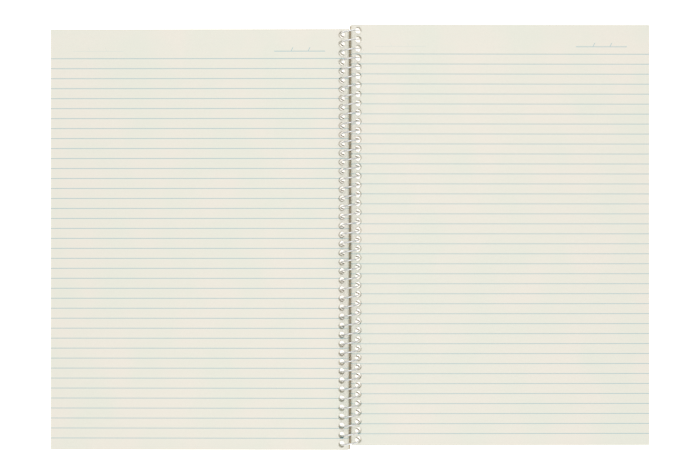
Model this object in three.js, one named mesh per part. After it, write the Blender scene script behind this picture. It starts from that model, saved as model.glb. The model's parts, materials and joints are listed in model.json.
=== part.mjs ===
// A4 ruled notebook bound by one spiral wire, lying open on its covers.
//
// Millimetres, +Z up. The wire's axis runs along Y over X = 0, the front half lies at -X and the
// back half at +X, and the origin is on the table below the middle of the open notebook. Every
// leaf and both covers hang on the wire by a column of punched holes. The wire climbs half a pitch
// from a left hole to the right hole opposite, so the two halves stand half a pitch out of line.
import * as THREE from "three";

// Paper and card
const sheetWidth = 210;
const sheetHeight = 297;
const sheetThickness = 0.1;
const sheetsPerHalf = 40;
const coverExtraWidth = 1.3; // over a sheet's width
const coverThickness = 0.6;
const layerGap = 0.04; // air between neighbouring leaves, blocks and covers
const topSheetDepth = 0.4; // from the wire's axis down to the top leaf

// Punching
const holePitch = 6.42;
const leastHeadMargin = 3.5; // from the first hole's centre to a sheet's head
const footClearance = 0.25; // from the last turn to the foot of a leaf turned right round
const holeToEdge = 4.35; // a sheet's hole centres to its bound edge
const coverHoleToEdge = 5; // the same on a cover
const leafSlack = 0.6; // how far the top leaf's hole centres stand in from the wire
const holePlay = 0.08; // room left round the wire once a leaf has been turned over
const holeSides = 4;

// Wire
const wireDiameter = 1;
const gutterHalfGap = 0.05; // from the wire's axis out to each cover's bound edge
const wireSections = 14; // straight steps in one turn, an even number
const wireSides = 5;
const tailSections = 3; // steps that each end runs on, down to below the spine
const tailBend = 0.5;
const tailLength = 2;

// Finishes
const paper = { color: 0xf0ebde, roughness: 0.9, metalness: 0 };
const kraftCard = { color: 0xb08b57, roughness: 0.85, metalness: 0 };
const nickelledSteel = { color: 0xc9cacc, roughness: 0.3, metalness: 1 };

// A half from its top leaf down to its cover: two leaves that turn singly, two blocks, a last leaf.
const upperSheets = Math.ceil((sheetsPerHalf - 3) / 2);
const sheetCounts = {
  top_leaf: 1,
  under_leaf: 1,
  upper_sheets: upperSheets,
  lower_sheets: sheetsPerHalf - 3 - upperSheets,
  last_leaf: 1,
};
let depth = topSheetDepth;
const sheetLayers = Object.entries(sheetCounts).map(([name, count]) => {
  const thickness = count * sheetThickness;
  const layer = { name, top: depth, thickness, width: sheetWidth, holeToEdge, finish: paper };
  depth += thickness + layerGap;
  return layer;
});
const cover = {
  name: "cover",
  top: depth,
  thickness: coverThickness,
  width: sheetWidth + coverExtraWidth,
  holeToEdge: coverHoleToEdge,
  finish: kraftCard,
};
const middleOf = (layer) => layer.top + layer.thickness / 2;
const topMiddle = middleOf(sheetLayers[0]);
const coverMiddle = middleOf(cover);
const coverUnderside = cover.top + coverThickness;

const quarterPitch = holePitch / 4;
const wireRadius = wireDiameter / 2;
const holeRadius = wireRadius + Math.hypot(quarterPitch, leafSlack) + holePlay;
const footMargin = 3 * quarterPitch - wireRadius - footClearance;
const lastHole = footMargin - sheetHeight / 2;
const holeCount = Math.floor((sheetHeight - footMargin - leastHeadMargin) / holePitch) + 1;
const firstHole = lastHole + (holeCount - 1) * holePitch;

// The wire is as tight as the inner rims of the covers' holes let it be, at their undersides.
const coverHole = coverHoleToEdge + gutterHalfGap;
const rimReach = Math.hypot(coverUnderside, coverHole - holeRadius);
const coilRadius = (rimReach + wireRadius) / Math.cos(Math.PI / wireSections);
const axisHeight = coilRadius + wireRadius;

// The hole columns lean evenly inwards from the top leaf down to the cover.
const topHole = Math.sqrt(coilRadius ** 2 - topMiddle ** 2) - leafSlack;
const holeX = (below) => {
  return THREE.MathUtils.mapLinear(below, topMiddle, coverMiddle, topHole, coverHole);
};

// How far along the spine the wire climbs from this far below its axis to the axis.
const wireLead = (below) => (holePitch * Math.asin(below / coilRadius)) / (2 * Math.PI);

// Each half slopes down from the wire until its cover's outer edge rests on the table.
const coverOuterEdge = gutterHalfGap + cover.width;
const slope =
  Math.asin(axisHeight / Math.hypot(coverUnderside, coverOuterEdge)) -
  Math.atan2(coverUnderside, coverOuterEdge);

function mesh(name, geometry, finish) {
  const piece = new THREE.Mesh(geometry, new THREE.MeshStandardMaterial(finish));
  piece.name = name;
  return piece;
}

// A sheet, block or cover on one side of the wire (side is 1 at +X and -1 at -X), with its column
// of holes and its middle both rowShift along Y.
function punchedPlate(side, layer, rowShift) {
  const hole = holeX(middleOf(layer));
  const inner = side * (hole - layer.holeToEdge);
  const outer = inner + side * layer.width;
  const halfHeight = sheetHeight / 2;
  const outline = new THREE.Shape();
  outline.moveTo(inner, rowShift - halfHeight);
  outline.lineTo(outer, rowShift - halfHeight);
  outline.lineTo(outer, rowShift + halfHeight);
  outline.lineTo(inner, rowShift + halfHeight);
  outline.closePath();
  const corner = holeRadius / Math.cos(Math.PI / holeSides);
  for (let i = 0; i < holeCount; i++) {
    const y = rowShift + firstHole - i * holePitch;
    const points = [];
    for (let k = 0; k < holeSides; k++) {
      const angle = (Math.PI * (2 * k + 1)) / holeSides;
      points.push(
        new THREE.Vector2(side * hole + corner * Math.cos(angle), y + corner * Math.sin(angle)),
      );
    }
    outline.holes.push(new THREE.Path(points));
  }
  const plate = new THREE.ExtrudeGeometry(outline, {
    depth: layer.thickness,
    bevelEnabled: false,
  });
  return plate.translate(0, 0, -layer.top - layer.thickness);
}

// The wire's centre line: a right-handed helix from below the first right hole to below the last
// left hole, with each end bent in along the spine. Its parameter runs evenly over the steps.
class SpiralPath extends THREE.Curve {
  constructor() {
    super();
    this.stepAngle = (2 * Math.PI) / wireSections;
    this.firstAngle = -tailSections * this.stepAngle;
    this.turnSteps = (holeCount - 0.5) * wireSections + 2 * tailSections;
    this.steps = this.turnSteps + 4;
  }

  onHelix(step) {
    const angle = this.firstAngle + step * this.stepAngle;
    const y = firstHole + quarterPitch - (holePitch * angle) / (2 * Math.PI);
    return new THREE.Vector3(
      coilRadius * Math.cos(angle),
      y,
      axisHeight + coilRadius * Math.sin(angle),
    );
  }

  // A point on an end's tail, which lies level: its first step turns the corner and its second
  // runs straight.
  onTail(step, wayOut, beyond) {
    const end = this.onHelix(step);
    const run = end.clone().sub(this.onHelix(step - wayOut)).setZ(0).normalize();
    const along = new THREE.Vector3(0, wayOut, 0);
    end.addScaledVector(run.add(along), tailBend * Math.min(beyond, 1));
    return end.addScaledVector(along, tailLength * Math.max(beyond - 1, 0));
  }

  getUtoTmapping(u) {
    return u;
  }

  getPoint(t) {
    const step = t * this.steps - 2;
    if (step < 0) return this.onTail(0, -1, -step);
    if (step > this.turnSteps) return this.onTail(this.turnSteps, 1, step - this.turnSteps);
    return this.onHelix(step);
  }
}

function spiralWire() {
  const section = [];
  for (let k = 0; k < wireSides; k++) {
    const angle = (2 * Math.PI * k) / wireSides;
    section.push(
      new THREE.Vector2(wireRadius * Math.cos(angle), wireRadius * Math.sin(angle)),
    );
  }
  const path = new SpiralPath();
  return new THREE.ExtrudeGeometry(new THREE.Shape(section), {
    steps: path.steps,
    extrudePath: path,
    bevelEnabled: false,
  });
}

// One half of the open notebook, hung from the wire's axis and tilted down to the table. Every
// layer stands a quarter pitch along, but for a swinging one, which turns about the wire without
// moving along it: its holes start a quarter pitch ahead of the wire and end as far behind it.
function half(side, nameOf, swinging) {
  const group = new THREE.Group();
  group.position.z = axisHeight;
  group.rotation.y = side * slope;
  for (const layer of [...sheetLayers, cover]) {
    const swings = layer.name === swinging;
    const rowShift = side * (swings ? wireLead(middleOf(layer)) : quarterPitch);
    const plate = punchedPlate(side, layer, rowShift);
    group.add(mesh(nameOf(layer.name), plate, layer.finish));
  }
  return group;
}

const notebook = new THREE.Group();
notebook.add(mesh("spiral_wire", spiralWire(), nickelledSteel));
notebook.add(half(-1, (name) => (name === "cover" ? "front_cover" : `left_${name}`), "last_leaf"));
notebook.add(half(1, (name) => (name === "cover" ? "back_cover" : `right_${name}`)));

export default notebook;
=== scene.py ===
"""An A4 ruled notebook on one spiral wire, lying open and flat on a pale table."""

import json
import logging
import math
import random
from dataclasses import dataclass
from enum import Enum

import bmesh
import bpy
from mathutils import Matrix, Vector


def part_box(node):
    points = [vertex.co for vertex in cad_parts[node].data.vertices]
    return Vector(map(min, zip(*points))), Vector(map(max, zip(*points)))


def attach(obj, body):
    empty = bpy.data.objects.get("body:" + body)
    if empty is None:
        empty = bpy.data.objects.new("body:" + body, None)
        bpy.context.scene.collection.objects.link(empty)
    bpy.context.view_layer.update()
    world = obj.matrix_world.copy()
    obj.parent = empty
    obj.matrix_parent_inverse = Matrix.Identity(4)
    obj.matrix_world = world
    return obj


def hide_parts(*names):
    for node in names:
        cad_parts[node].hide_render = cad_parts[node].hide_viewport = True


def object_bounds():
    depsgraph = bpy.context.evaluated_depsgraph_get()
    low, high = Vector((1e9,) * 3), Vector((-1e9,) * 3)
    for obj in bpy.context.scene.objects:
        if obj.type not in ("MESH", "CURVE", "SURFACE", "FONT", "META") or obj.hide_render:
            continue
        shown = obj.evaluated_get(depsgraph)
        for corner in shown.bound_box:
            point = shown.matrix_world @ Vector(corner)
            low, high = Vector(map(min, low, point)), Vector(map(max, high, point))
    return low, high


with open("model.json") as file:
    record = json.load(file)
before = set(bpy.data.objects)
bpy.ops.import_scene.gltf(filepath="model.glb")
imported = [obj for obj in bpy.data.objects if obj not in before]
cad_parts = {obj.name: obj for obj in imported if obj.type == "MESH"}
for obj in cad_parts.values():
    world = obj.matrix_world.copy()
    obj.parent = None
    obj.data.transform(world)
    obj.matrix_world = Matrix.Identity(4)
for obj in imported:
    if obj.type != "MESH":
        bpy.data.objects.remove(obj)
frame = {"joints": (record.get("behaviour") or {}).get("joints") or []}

CAD_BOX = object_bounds()
LOG = logging.getLogger("notebook")
MM = 0.001

# The notebook's own sizes, in millimetres, as its frame has them, apart from the last note
SHEET_WIDTH = 210.0
SHEET_HEIGHT = 297.0
SHEET_THICKNESS = 0.1
COVER_WIDTH = 211.3
COVER_THICKNESS = 0.6
HOLE_PITCH = 6.42
HOLE_COUNT = 46
HOLE_DIAMETER = 4.6
HOLE_TO_EDGE = 4.35
COVER_HOLE_TO_EDGE = 5.3  # 0.3 more than on the frame's covers
WIRE_DIAMETER = 1.0
UPPER_SHEETS = 19
LOWER_SHEETS = 18


class Side(Enum):
    """The two halves of the open notebook; the value is the sign of X."""

    LEFT = -1
    RIGHT = 1


# ---------------------------------------------------------------- materials


def linear(colour: str) -> tuple[float, float, float, float]:
    """Turn an sRGB hex colour to linear.

    Args:
        colour: six hex digits after a hash sign.

    Returns:
        Red, green, blue and alpha.
    """
    parts = [int(colour[i : i + 2], 16) / 255 for i in (1, 3, 5)]
    lin = [c / 12.92 if c <= 0.04045 else ((c + 0.055) / 1.055) ** 2.4 for c in parts]
    return (*lin, 1.0)


def add_node(
    tree: bpy.types.NodeTree, kind: str, settings: dict, inputs: dict
) -> bpy.types.Node:
    """Add one shader node with its settings and what feeds it.

    Args:
        tree: the material's node tree.
        kind: the node's class name without ShaderNode.
        settings: properties of the node by name.
        inputs: socket name or number to a value, or to another node's output socket.

    Returns:
        The new node.
    """
    made = tree.nodes.new("ShaderNode" + kind)
    for name, value in settings.items():
        setattr(made, name, value)
    for key, value in inputs.items():
        if isinstance(value, bpy.types.NodeSocket):
            tree.links.new(value, made.inputs[key])
        else:
            made.inputs[key].default_value = value
    return made


def calc(tree: bpy.types.NodeTree, operation: str, *values: object) -> bpy.types.NodeSocket:
    """Work out one number from others in a material.

    Args:
        tree: the material's node tree.
        operation: the Math node's operation.
        *values: numbers or output sockets, in order.

    Returns:
        The socket that holds the result.
    """
    made = add_node(tree, "Math", {"operation": operation}, dict(enumerate(values)))
    return made.outputs[0]


def noise(
    tree: bpy.types.NodeTree, place: bpy.types.NodeSocket, size: float, detail: float
) -> bpy.types.NodeSocket:
    """Lay a noise pattern of a real size.

    Args:
        tree: the material's node tree.
        place: the coordinates to read, in metres.
        size: how far apart its blotches are, in millimetres.
        detail: how many finer layers it has.

    Returns:
        The socket that holds the pattern, from 0 to 1.
    """
    inputs = {"Vector": place, "Scale": 1 / (size * MM), "Detail": detail}
    return add_node(tree, "TexNoise", {}, inputs).outputs["Fac"]


def band(
    tree: bpy.types.NodeTree, value: object, middle: float, half: float
) -> bpy.types.NodeSocket:
    """Be 1 where a value is within half of middle, with a soft printed edge, and 0 elsewhere.

    Args:
        tree: the material's node tree.
        value: the socket to test, in millimetres.
        middle: the band's middle.
        half: half of the band's width.

    Returns:
        The socket that holds the mask.
    """
    soft = 0.04
    away = calc(tree, "ABSOLUTE", calc(tree, "SUBTRACT", value, middle))
    made = add_node(
        tree,
        "MapRange",
        {"interpolation_type": "SMOOTHSTEP"},
        {"Value": away, "From Min": half + soft, "From Max": half - soft},
    )
    return made.outputs["Result"]


def new_material(name: str) -> tuple[bpy.types.Material, bpy.types.NodeTree, bpy.types.Node]:
    """Start a node material.

    Args:
        name: the material's name.

    Returns:
        The material, its tree and its Principled shader.
    """
    material = bpy.data.materials.new(name)
    material.use_nodes = True
    tree = material.node_tree
    return material, tree, tree.nodes["Principled BSDF"]


@dataclass(frozen=True)
class RuledPaper:
    """Uncoated cream writing paper, offset printed with feint rules on both faces.

    Wood-free uncoated stock scatters nearly all light, so it has no gloss; its fibres and a cloudy
    formation show as faint mottling, and the ink is thin enough to sink into it.
    """

    name: str
    page_left: float
    page_top: float
    cream: str = "#F1ECE0"
    cool_cream: str = "#ECECDF"
    ink: str = "#97C0C8"
    roughness: float = 0.88
    rule_spacing: float = 7.05
    rule_count: int = 39
    first_rule: float = 20.8
    rule_width: float = 0.38
    date_above_first: float = 5.2
    date_start: float = 158.0
    date_length: float = 36.0
    slash_height: float = 2.7
    slash_lean: float = 0.5
    show_through: float = 0.14
    cloud_size: float = 35.0
    fibre_size: float = 0.5

    def date_mask(
        self, tree: bpy.types.NodeTree, across: object, down: object
    ) -> bpy.types.NodeSocket:
        """Print the short heading rule with its two slashes.

        Args:
            tree: the material's node tree.
            across: millimetres from the page's left edge.
            down: millimetres below the page's head.

        Returns:
            The socket that holds the mask.
        """
        level = self.first_rule - self.date_above_first
        middle = self.date_start + self.date_length / 2
        half = self.rule_width / 2
        rule = calc(
            tree,
            "MULTIPLY",
            band(tree, down, level, half),
            band(tree, across, middle, self.date_length / 2),
        )
        rise = calc(tree, "SUBTRACT", level, down)
        upright = calc(tree, "SUBTRACT", across, calc(tree, "MULTIPLY", rise, self.slash_lean))
        height = band(tree, rise, self.slash_height / 2, self.slash_height / 2)
        for third in (1, 2):
            foot = self.date_start + self.date_length * third / 3
            slash = calc(tree, "MULTIPLY", band(tree, upright, foot, half), height)
            rule = calc(tree, "MAXIMUM", rule, slash)
        return rule

    def rules_mask(self, tree: bpy.types.NodeTree, down: object) -> bpy.types.NodeSocket:
        """Print the feint rules that run the page's full width.

        Args:
            tree: the material's node tree.
            down: millimetres below the page's head.

        Returns:
            The socket that holds the mask.
        """
        lines = calc(
            tree, "DIVIDE", calc(tree, "SUBTRACT", down, self.first_rule), self.rule_spacing
        )
        nearest = calc(tree, "ROUND", lines)
        away = calc(tree, "MULTIPLY", calc(tree, "SUBTRACT", lines, nearest), self.rule_spacing)
        middle = (self.rule_count - 1) / 2
        printed = calc(tree, "COMPARE", nearest, middle, middle + 0.5)
        return calc(tree, "MULTIPLY", band(tree, away, 0.0, self.rule_width / 2), printed)

    def build(self) -> bpy.types.Material:
        """Make the material.

        Returns:
            The material, printed by Object coordinates.
        """
        material, tree, shader = new_material(self.name)
        place = add_node(tree, "TexCoord", {}, {})
        where = add_node(tree, "SeparateXYZ", {}, {0: place.outputs["Object"]})
        facing = add_node(tree, "SeparateXYZ", {}, {0: place.outputs["Normal"]})
        x_mm = calc(tree, "DIVIDE", where.outputs["X"], MM)
        y_mm = calc(tree, "DIVIDE", where.outputs["Y"], MM)
        across = calc(tree, "SUBTRACT", x_mm, self.page_left)
        down = calc(tree, "SUBTRACT", self.page_top, y_mm)
        mirrored = calc(tree, "SUBTRACT", SHEET_WIDTH, across)
        upper = self.date_mask(tree, across, down)
        lower = self.date_mask(tree, mirrored, down)
        is_upper = calc(tree, "GREATER_THAN", facing.outputs["Z"], 0.0)
        is_lower = calc(tree, "LESS_THAN", facing.outputs["Z"], 0.0)
        near = calc(
            tree,
            "ADD",
            calc(tree, "MULTIPLY", upper, is_upper),
            calc(tree, "MULTIPLY", lower, is_lower),
        )
        far = calc(
            tree,
            "ADD",
            calc(tree, "MULTIPLY", lower, is_upper),
            calc(tree, "MULTIPLY", upper, is_lower),
        )
        printed = calc(tree, "MAXIMUM", self.rules_mask(tree, down), near)
        through = calc(tree, "MULTIPLY", far, self.show_through)
        ink_amount = calc(tree, "MAXIMUM", printed, through)
        # cloudy formation, and fibres drawn large enough to show
        clouds = noise(tree, place.outputs["Object"], self.cloud_size, 2.0)
        fibres = noise(tree, place.outputs["Object"], self.fibre_size, 3.0)
        cloudy = add_node(
            tree, "MapRange", {}, {"Value": clouds, "From Min": 0.35, "From Max": 0.65}
        )
        stock = add_node(
            tree,
            "MixRGB",
            {},
            {
                "Fac": cloudy.outputs["Result"],
                "Color1": linear(self.cream),
                "Color2": linear(self.cool_cream),
            },
        )
        fibre_shade = add_node(
            tree,
            "MapRange",
            {},
            {"Value": fibres, "From Min": 0.3, "From Max": 0.7, "To Min": 0.975, "To Max": 1.02},
        )
        toned = add_node(
            tree,
            "VectorMath",
            {"operation": "SCALE"},
            {0: stock.outputs["Color"], "Scale": fibre_shade.outputs["Result"]},
        )
        # the ink takes unevenly on the fibres
        take = add_node(
            tree,
            "MapRange",
            {},
            {"Value": fibres, "From Min": 0.3, "From Max": 0.7, "To Min": 0.8, "To Max": 1.0},
        )
        coverage = calc(tree, "MULTIPLY", ink_amount, take.outputs["Result"])
        colour = add_node(
            tree,
            "MixRGB",
            {},
            {"Fac": coverage, "Color1": toned.outputs["Vector"], "Color2": linear(self.ink)},
        )
        bump = add_node(
            tree, "Bump", {}, {"Height": fibres, "Strength": 0.12, "Distance": 0.03 * MM}
        )
        tree.links.new(colour.outputs["Color"], shader.inputs["Base Color"])
        tree.links.new(bump.outputs["Normal"], shader.inputs["Normal"])
        shader.inputs["Roughness"].default_value = self.roughness
        shader.inputs["IOR"].default_value = 1.45
        shader.inputs["Specular IOR Level"].default_value = 0.25
        return material


@dataclass(frozen=True)
class KraftBoard:
    """Unbleached kraft board, pressed: long brown fibres lie mostly one way, with dark flecks."""

    name: str = "kraft_board"
    brown: str = "#9A7C4C"
    dark_brown: str = "#7C6236"
    fleck: str = "#574224"
    roughness: float = 0.82
    fibre_size: float = 0.6
    fleck_size: float = 1.6
    grain_stretch: float = 5.0

    def build(self) -> bpy.types.Material:
        """Make the material.

        Returns:
            The material.
        """
        material, tree, shader = new_material(self.name)
        place = add_node(tree, "TexCoord", {}, {})
        # fibres lie along the grain of the board, five times as long as they are wide
        stretch = (1.0, 1 / self.grain_stretch, 1.0)
        grain = add_node(
            tree, "Mapping", {}, {"Vector": place.outputs["Object"], "Scale": stretch}
        )
        fibres = noise(tree, grain.outputs["Vector"], self.fibre_size, 4.0)
        flecks = noise(tree, grain.outputs["Vector"], self.fleck_size, 1.0)
        body = add_node(
            tree,
            "MixRGB",
            {},
            {"Fac": fibres, "Color1": linear(self.brown), "Color2": linear(self.dark_brown)},
        )
        speck = add_node(
            tree,
            "MapRange",
            {},
            {"Value": flecks, "From Min": 0.66, "From Max": 0.74, "To Max": 0.7},
        )
        colour = add_node(
            tree,
            "MixRGB",
            {},
            {
                "Fac": speck.outputs["Result"],
                "Color1": body.outputs["Color"],
                "Color2": linear(self.fleck),
            },
        )
        bump = add_node(
            tree, "Bump", {}, {"Height": fibres, "Strength": 0.25, "Distance": 0.05 * MM}
        )
        tree.links.new(colour.outputs["Color"], shader.inputs["Base Color"])
        tree.links.new(bump.outputs["Normal"], shader.inputs["Normal"])
        shader.inputs["Roughness"].default_value = self.roughness
        shader.inputs["Specular IOR Level"].default_value = 0.3
        return material


@dataclass(frozen=True)
class NickelledWire:
    """Drawn spring steel, nickel plated: bright and slightly warm, softened by fine draw marks."""

    name: str = "nickelled_steel_wire"
    nickel: str = "#E2E2E2"
    roughness: float = 0.38
    haze_size: float = 2.0

    def build(self) -> bpy.types.Material:
        """Make the material.

        Returns:
            The material.
        """
        material, tree, shader = new_material(self.name)
        place = add_node(tree, "TexCoord", {}, {})
        haze = noise(tree, place.outputs["Object"], self.haze_size, 3.0)
        rough = add_node(
            tree,
            "MapRange",
            {},
            {
                "Value": haze,
                "To Min": self.roughness - 0.08,
                "To Max": self.roughness + 0.1,
            },
        )
        tree.links.new(rough.outputs["Result"], shader.inputs["Roughness"])
        shader.inputs["Base Color"].default_value = linear(self.nickel)
        shader.inputs["Metallic"].default_value = 1.0
        return material


@dataclass(frozen=True)
class TableLaminate:
    """A matt white table top."""

    name: str = "white_table"
    white: str = "#FAFAF9"
    glow: float = 1.0

    def build(self) -> bpy.types.Material:
        """Make the material.

        Returns:
            The material.
        """
        material, tree, shader = new_material(self.name)
        place = add_node(tree, "TexCoord", {}, {})
        grain = add_node(
            tree, "TexNoise", {}, {"Vector": place.outputs["Object"], "Scale": 1 / (4 * MM)}
        )
        rough = add_node(
            tree, "MapRange", {}, {"Value": grain.outputs["Fac"], "To Min": 0.85, "To Max": 0.95}
        )
        tree.links.new(rough.outputs["Result"], shader.inputs["Roughness"])
        shader.inputs["Base Color"].default_value = linear(self.white)
        shader.inputs["Emission Color"].default_value = linear(self.white)
        shader.inputs["Emission Strength"].default_value = self.glow
        return material


# ---------------------------------------------------------------- meshes


def finish_piece(
    bm: bmesh.types.BMesh, name: str, material: bpy.types.Material, smooth: bool
) -> bpy.types.Object:
    """Turn a finished bmesh, already in place, into a piece.

    Args:
        bm: the shape in metres in the frame; it is freed.
        name: the piece's name.
        material: its finish.
        smooth: whether its faces are shaded smooth.

    Returns:
        The object, at the origin.
    """
    bmesh.ops.recalc_face_normals(bm, faces=bm.faces)
    mesh = bpy.data.meshes.new(name)
    bm.to_mesh(mesh)
    bm.free()
    mesh.materials.append(material)
    for face in mesh.polygons:
        face.use_smooth = smooth
    piece = bpy.data.objects.new(name, mesh)
    bpy.context.scene.collection.objects.link(piece)
    return piece


@dataclass
class PunchedSheet:
    """A rectangle with a column of round holes along its bound edge, in millimetres.

    It is made lying flat with its top at Z = 0, the wire's axis at X = 0 and its other edge at +X.
    """

    width: float
    thickness: float
    bound_edge: float
    hole_to_edge: float
    hole_facets: int
    columns: int

    def punched_strip(self) -> bmesh.types.BMesh:
        """Make the strip with the holes, cell by cell.

        Returns:
            The strip, as a flat surface.
        """
        bm = bmesh.new()
        bmesh.ops.create_circle(bm, segments=self.hole_facets, radius=HOLE_DIAMETER / 2)
        square = bmesh.ops.create_circle(bm, segments=4, radius=math.sqrt(0.5))["verts"]
        bmesh.ops.rotate(bm, verts=square, matrix=Matrix.Rotation(math.pi / 4, 3, "Z"))
        bmesh.ops.scale(bm, verts=square, vec=(2 * self.hole_to_edge, HOLE_PITCH, 1.0))
        bmesh.ops.triangle_fill(bm, edges=bm.edges[:], use_beauty=True, normal=(0, 0, 1))
        first = ((HOLE_COUNT - 1) * HOLE_PITCH) / 2
        bmesh.ops.translate(bm, verts=bm.verts, vec=(self.bound_edge + self.hole_to_edge, first, 0.0))
        cell = bm.verts[:] + bm.edges[:] + bm.faces[:]
        for i in range(1, HOLE_COUNT):
            copy = bmesh.ops.duplicate(bm, geom=cell)["geom"]
            corners = [v for v in copy if isinstance(v, bmesh.types.BMVert)]
            bmesh.ops.translate(bm, verts=corners, vec=(0.0, -i * HOLE_PITCH, 0.0))
        bmesh.ops.remove_doubles(bm, verts=bm.verts, dist=0.001)
        return bm

    def draw_out(
        self, bm: bmesh.types.BMesh, axis: int, edge_at: float, to: float, steps: int
    ) -> None:
        """Carry a straight border of the surface on to a new line.

        Args:
            bm: the surface.
            axis: 0 for a border that runs across X, 1 for one that runs across Y.
            edge_at: where the border is on that axis.
            to: where it ends up.
            steps: how many rows of faces it makes.
        """
        border = [e for e in bm.edges if all(abs(v.co[axis] - edge_at) < 0.01 for v in e.verts)]
        step = Vector((0.0, 0.0, 0.0))
        step[axis] = (to - edge_at) / steps
        for _ in range(steps):
            made = bmesh.ops.extrude_edge_only(bm, edges=border)["geom"]
            moved = [v for v in made if isinstance(v, bmesh.types.BMVert)]
            bmesh.ops.translate(bm, verts=moved, vec=step)
            border = [e for e in made if isinstance(e, bmesh.types.BMEdge)]

    def build(self) -> bmesh.types.BMesh:
        """Make the sheet with its thickness.

        Returns:
            The closed sheet.
        """
        bm = self.punched_strip()
        cells_end = HOLE_COUNT * HOLE_PITCH / 2
        cells_side = self.bound_edge + 2 * self.hole_to_edge
        outer = self.bound_edge + self.width
        self.draw_out(bm, 1, cells_end, SHEET_HEIGHT / 2, 1)
        self.draw_out(bm, 1, -cells_end, -SHEET_HEIGHT / 2, 1)
        self.draw_out(bm, 0, cells_side, outer, self.columns)
        bmesh.ops.recalc_face_normals(bm, faces=bm.faces)
        if bm.faces[0].normal.z < 0:
            bmesh.ops.reverse_faces(bm, faces=bm.faces)
        walls = bmesh.ops.extrude_face_region(bm, geom=bm.faces[:], use_keep_orig=True)["geom"]
        lower = [v for v in walls if isinstance(v, bmesh.types.BMVert)]
        bmesh.ops.translate(bm, verts=lower, vec=(0.0, 0.0, -self.thickness))
        return bm


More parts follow.
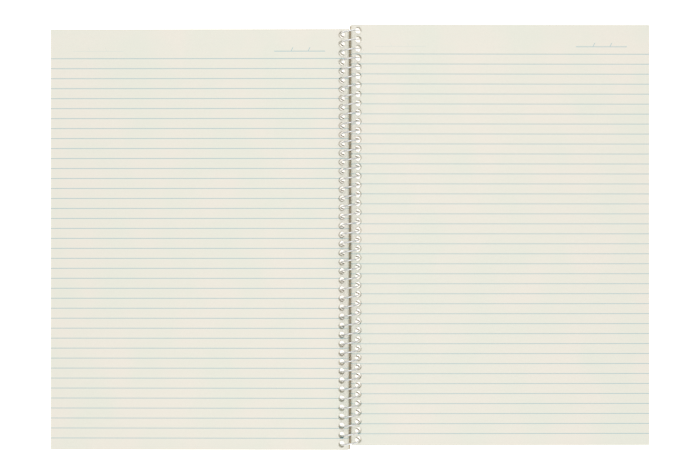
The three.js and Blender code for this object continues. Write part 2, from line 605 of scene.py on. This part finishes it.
@dataclass
class NotebookHalf:
    """The leaves and the cover on one side of the wire."""

    side: Side
    prefix: str
    cover_node: str
    main_body: str
    last_leaf_body: str
    paper: bpy.types.Material
    board: bpy.types.Material
    hole_facets: int = 24
    block_facets: int = 12
    sheet_gap: float = 0.015
    stray: float = 0.06
    curl: float = 0.45
    under_curl_share: float = 0.6
    flat_strip: float = 30.0
    edge_curl_share: float = 0.35
    upper_step_in: float = 0.17
    upper_hole_out: float = 0.05
    lower_step_in: float = 0.25
    lower_hole_out: float = 0.2
    under_hole_out: float = 0.25
    last_edge_in: float = 0.28
    last_hole_out: float = 0.15
    leaf_columns: int = 24
    cover_columns: int = 8
    seed: int = 5

    def __post_init__(self) -> None:
        """Read the half's slope, and the wire's height, from the frame."""
        self.axis_height = frame["joints"][0]["pos_m"][2] / MM
        low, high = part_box(f"{self.prefix}_top_leaf")
        fall = (high.z - low.z) / MM - SHEET_THICKNESS
        self.slope = math.asin(fall / SHEET_WIDTH)
        self.random = random.Random(self.seed + self.side.value)

    def inner_edge(self, node: str) -> float:
        """Find how far a CAD layer's bound edge is from the wire's axis, in millimetres."""
        low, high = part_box(node)
        return (low.x if self.side is Side.RIGHT else -high.x) / MM

    def depth(self, node: str) -> float:
        """Find how far below the wire's axis a CAD layer's top is, in millimetres."""
        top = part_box(node)[1].z / MM
        return self.axis_height - top - self.inner_edge(node) * math.sin(self.slope)

    def row_shift(self, node: str) -> float:
        """Find how far along Y the middle of a CAD layer is, in millimetres."""
        low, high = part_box(node)
        return (low.y + high.y) / 2 / MM

    def put_in_place(self, bm: bmesh.types.BMesh, depth: float, shift: float) -> None:
        """Carry a flat sheet, made at +X, to its place under the wire.

        Args:
            bm: the sheet in millimetres.
            depth: how far its top is below the wire's axis.
            shift: how far along Y its middle is.
        """
        if self.side is Side.LEFT:
            bmesh.ops.scale(bm, verts=bm.verts, vec=(-1.0, 1.0, 1.0))
        bmesh.ops.translate(bm, verts=bm.verts, vec=(0.0, shift, -depth))
        tilt = Matrix.Rotation(self.side.value * self.slope, 3, "Y")
        bmesh.ops.rotate(bm, verts=bm.verts, matrix=tilt, cent=(0.0, 0.0, 0.0))
        bmesh.ops.translate(bm, verts=bm.verts, vec=(0.0, 0.0, self.axis_height))
        bmesh.ops.scale(bm, verts=bm.verts, vec=(MM, MM, MM))

    def add(self, bm: bmesh.types.BMesh, node: str, body: str, name: str, slot: str) -> None:
        """Make a placed bmesh a piece that stands for a CAD node.

        Args:
            bm: the shape in place.
            node: the CAD node it replaces.
            body: the CAD body it moves with.
            name: the piece's name.
            slot: the record's material slot.
        """
        finish = self.paper if slot == "paper" else self.board
        piece = finish_piece(bm, name, finish, smooth=False)
        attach(piece, body)
        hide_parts(node)
        LOG.info("%s rides on %s", name, body)

    def single_leaf(
        self, layer: str, body: str, curl: float, edge_in: float = 0.0, hole_out: float = 0.0
    ) -> None:
        """Make one leaf.

        Args:
            layer: the CAD layer's name without its side.
            body: the CAD body it moves with.
            curl: how far its outer corners lift, in millimetres.
            edge_in: how far its bound edge has slid in from its place.
            hole_out: how far its holes stand out from theirs.
        """
        node = f"{self.prefix}_{layer}"
        edge = self.inner_edge(node) - edge_in
        to_edge = HOLE_TO_EDGE + edge_in + hole_out
        sheet = PunchedSheet(
            SHEET_WIDTH, SHEET_THICKNESS, edge, to_edge, self.hole_facets, self.leaf_columns
        )
        bm = sheet.build()
        for vertex in bm.verts:
            out = max(0.0, (vertex.co.x - self.flat_strip) / SHEET_WIDTH)
            along = vertex.co.y / (SHEET_HEIGHT / 2)
            share = self.edge_curl_share + (1 - self.edge_curl_share) * along**2
            vertex.co.z += curl * out**2 * share
        self.put_in_place(bm, self.depth(node), self.row_shift(node))
        self.add(bm, node, body, f"{node}_ruled", "paper")

    def sheet_block(self, layer: str, count: int, step_in: float, hole_out: float) -> None:
        """Make a block of leaves, each its own sheet, stepping in towards the gutter.

        Args:
            layer: the CAD layer's name without its side.
            count: how many leaves it holds.
            step_in: how far the lowest sheet's bound edge stands in from the block's middle.
            hole_out: how far the holes stand out from their place.
        """
        node = f"{self.prefix}_{layer}"
        middle_edge = self.inner_edge(node)
        pitch = SHEET_THICKNESS
        thickness = pitch - self.sheet_gap
        sheet = PunchedSheet(
            SHEET_WIDTH, thickness, middle_edge, HOLE_TO_EDGE + hole_out, self.block_facets, 1
        )
        one = sheet.build()
        flat = bpy.data.meshes.new("flat_sheet")
        one.to_mesh(flat)
        one.free()
        bm = bmesh.new()
        for i in range(count):
            inwards = step_in * (2 * i / (count - 1) - 1)
            before = len(bm.verts)
            bm.from_mesh(flat)
            bm.verts.ensure_lookup_table()
            added = bm.verts[before:]
            along_x = self.random.uniform(-self.stray, self.stray) - inwards
            along_y = self.random.uniform(-self.stray, self.stray)
            bmesh.ops.translate(bm, verts=added, vec=(along_x, along_y, -i * pitch))
        bpy.data.meshes.remove(flat)
        self.put_in_place(bm, self.depth(node), self.row_shift(node))
        self.add(bm, node, self.main_body, f"{node}_leaves", "paper")

    def cover(self) -> None:
        """Make the cover board."""
        node = self.cover_node
        edge = self.inner_edge(node)
        sheet = PunchedSheet(
            COVER_WIDTH,
            COVER_THICKNESS,
            edge,
            COVER_HOLE_TO_EDGE,
            self.hole_facets,
            self.cover_columns,
        )
        bm = sheet.build()
        self.put_in_place(bm, self.depth(node), self.row_shift(node))
        self.add(bm, node, self.main_body, f"{node}_board", "kraft_card")

    def build(self) -> None:
        """Make the whole half, from its top leaf down."""
        self.single_leaf("top_leaf", f"{self.prefix}_top_leaf", self.curl)
        # the under leaf's holes stand out, so that it clears the wire at the end of its slide
        self.single_leaf(
            "under_leaf",
            f"{self.prefix}_under_leaf",
            self.curl * self.under_curl_share,
            hole_out=self.under_hole_out,
        )
        self.sheet_block("upper_sheets", UPPER_SHEETS, self.upper_step_in, self.upper_hole_out)
        self.sheet_block("lower_sheets", LOWER_SHEETS, self.lower_step_in, self.lower_hole_out)
        self.single_leaf(
            "last_leaf", self.last_leaf_body, 0.0, self.last_edge_in, self.last_hole_out
        )
        self.cover()


@dataclass
class SpiralWire:
    """One length of wire wound through every hole, in millimetres."""

    material: bpy.types.Material
    facets: int = 12
    steps_per_turn: int = 28
    run_on: float = math.radians(72)
    bend_radius: float = 1.2
    bend_steps: int = 6
    tail: float = 1.4
    tip_step: float = 0.12
    tip_shrinks: tuple[float, float] = (0.94, 0.72)

    def __post_init__(self) -> None:
        """Read the coil's radius and height from the frame."""
        self.axis_height = frame["joints"][0]["pos_m"][2] / MM
        self.radius = self.axis_height - WIRE_DIAMETER / 2

    def point(self, angle: float) -> Vector:
        """Find the wire's centre at an angle from +X towards +Z, past the first right hole."""
        first = (HOLE_COUNT - 1) * HOLE_PITCH / 2 + HOLE_PITCH / 4
        return Vector(
            (
                self.radius * math.cos(angle),
                first - HOLE_PITCH * angle / (2 * math.pi),
                self.axis_height + self.radius * math.sin(angle),
            )
        )

    def bend_end(
        self, bm: bmesh.types.BMesh, ring: list, at: Vector, heading: Vector, inward: Vector
    ) -> None:
        """Bend an end of the wire in along the spine and round it off.

        Args:
            bm: the wire.
            ring: the verts and edges of its open end.
            at: the middle of that ring.
            heading: the way the wire runs there, outwards.
            inward: the way along the spine that the tail takes.
        """
        axis = heading.cross(inward).normalized()
        turned = bmesh.ops.spin(
            bm,
            geom=ring,
            cent=at + inward * self.bend_radius,
            axis=axis,
            angle=math.pi / 2,
            steps=self.bend_steps,
            use_merge=False,
        )["geom_last"]
        tip = at + (inward + heading) * self.bend_radius
        steps = [(self.tail, 1.0)] + [(self.tip_step, shrink) for shrink in self.tip_shrinks]
        for length, shrink in steps:
            edges = [e for e in turned if isinstance(e, bmesh.types.BMEdge)]
            turned = bmesh.ops.extrude_edge_only(bm, edges=edges)["geom"]
            moved = [v for v in turned if isinstance(v, bmesh.types.BMVert)]
            bmesh.ops.translate(bm, verts=moved, vec=inward * length)
            tip = tip + inward * length
            for vertex in moved:
                vertex.co = tip + (vertex.co - tip) * shrink
        edges = [e for e in turned if isinstance(e, bmesh.types.BMEdge)]
        bmesh.ops.edgeloop_fill(bm, edges=edges)

    def build(self) -> None:
        """Wind the wire and bend its ends."""
        bm = bmesh.new()
        ring = bmesh.ops.create_circle(bm, segments=self.facets, radius=WIRE_DIAMETER / 2)["verts"]
        start, end = -self.run_on, (HOLE_COUNT - 0.5) * 2 * math.pi + self.run_on
        bmesh.ops.translate(bm, verts=ring, vec=(self.radius, 0.0, 0.0))
        bmesh.ops.rotate(bm, verts=ring, matrix=Matrix.Rotation(-start, 3, "Y"), cent=(0.0, 0.0, 0.0))
        rise = self.point(start).y
        bmesh.ops.translate(bm, verts=ring, vec=(0.0, rise, self.axis_height))
        open_end = bm.verts[:] + bm.edges[:]
        steps = round((end - start) / (2 * math.pi) * self.steps_per_turn)
        turn = end - start
        far_end = bmesh.ops.spin(
            bm,
            geom=open_end,
            cent=(0.0, 0.0, self.axis_height),
            axis=(0.0, -1.0, 0.0),
            dvec=(0.0, -HOLE_PITCH * turn / (2 * math.pi) / steps, 0.0),
            angle=turn,
            steps=steps,
            use_merge=False,
        )["geom_last"]
        small = math.radians(0.5)
        way_out = (self.point(start) - self.point(start + small)).normalized()
        self.bend_end(bm, open_end, self.point(start), way_out, Vector((0.0, -1.0, 0.0)))
        way_out = (self.point(end) - self.point(end - small)).normalized()
        self.bend_end(bm, far_end, self.point(end), way_out, Vector((0.0, 1.0, 0.0)))
        bmesh.ops.scale(bm, verts=bm.verts, vec=(MM, MM, MM))
        piece = finish_piece(bm, "spiral_wire_wound", self.material, smooth=True)
        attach(piece, "spine_and_back")
        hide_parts("spiral_wire")
        LOG.info("%s rides on spine_and_back", piece.name)


# ---------------------------------------------------------------- studio


@dataclass
class Studio:
    """A pale table, soft lights at the head and foot of the notebook, and a camera overhead."""

    table: bpy.types.Material
    camera_height: float = 0.76
    picture_width: float = 0.494
    page_level: float = 0.006
    rise: float = 0.003
    table_size: float = 8.0
    light_power: float = 2.75
    light_size: float = 0.7
    light_height: float = 0.85
    light_reach: float = 0.75
    overhead_power: float = 1.0
    overhead_size: float = 0.5
    overhead_height: float = 1.3
    room: float = 0.64

    def lay_table(self) -> None:
        """Make the table top."""
        bm = bmesh.new()
        bmesh.ops.create_grid(bm, x_segments=2, y_segments=2, size=self.table_size / 2)
        top = finish_piece(bm, "table_top", self.table, smooth=False)

    def hang_light(self, name: str, place: Vector, power: float, size: float) -> None:
        """Hang one square soft light that looks at the middle of the notebook.

        Args:
            name: the light's name.
            place: where it hangs, in metres.
            power: in watts.
            size: the side of the square.
        """
        data = bpy.data.lights.new(name, "AREA")
        data.energy = power
        data.size = size
        light = bpy.data.objects.new(name, data)
        light.location = place
        light.rotation_euler = (-place).to_track_quat("-Z", "Y").to_euler()
        bpy.context.scene.collection.objects.link(light)

    def light(self) -> None:
        """Hang the lights and brighten the room."""
        for name, way in (("head_light", 1), ("foot_light", -1)):
            place = Vector((0.0, way * self.light_reach, self.light_height))
            self.hang_light(name, place, self.light_power, self.light_size)
        overhead = Vector((0.0, 0.0, self.overhead_height))
        self.hang_light("overhead_light", overhead, self.overhead_power, self.overhead_size)
        world = bpy.data.worlds.new("studio")
        world.use_nodes = True
        background = world.node_tree.nodes["Background"]
        background.inputs["Color"].default_value = (1.0, 1.0, 1.0, 1.0)
        background.inputs["Strength"].default_value = self.room
        bpy.context.scene.world = world
        bpy.context.scene.view_settings.view_transform = "Standard"

    def place_camera(self) -> None:
        """Put the camera straight above the notebook."""
        low, high = CAD_BOX
        data = bpy.data.cameras.new("camera")
        data.sensor_width = 36.0
        distance = self.camera_height - self.page_level
        data.lens = data.sensor_width * distance / self.picture_width
        camera = bpy.data.objects.new("camera", data)
        middle = (low + high) / 2
        camera.location = (middle.x, middle.y + self.rise, self.camera_height)
        bpy.context.scene.collection.objects.link(camera)
        bpy.context.scene.camera = camera

    def build(self) -> None:
        """Set up the table, the lights and the camera."""
        self.place_camera()
        self.lay_table()
        self.light()


def page_corner(node: str) -> tuple[float, float]:
    """Find the left edge and the head of a CAD leaf seen from above.

    Args:
        node: the leaf's node.

    Returns:
        X and Y in millimetres.
    """
    low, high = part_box(node)
    return low.x / MM, high.y / MM


def main() -> None:
    """Build the notebook and its studio."""
    logging.basicConfig(level=logging.INFO)
    Studio(TableLaminate().build()).build()
    board = KraftBoard().build()
    left_paper = RuledPaper("ruled_paper_left", *page_corner("left_top_leaf")).build()
    right_paper = RuledPaper("ruled_paper_right", *page_corner("right_top_leaf")).build()
    NotebookHalf(
        Side.LEFT, "left", "front_cover", "front_half", "left_last_leaf", left_paper, board
    ).build()
    NotebookHalf(
        Side.RIGHT, "right", "back_cover", "spine_and_back", "spine_and_back", right_paper, board
    ).build()
    SpiralWire(NickelledWire().build()).build()


if __name__ == "__main__":
    main()
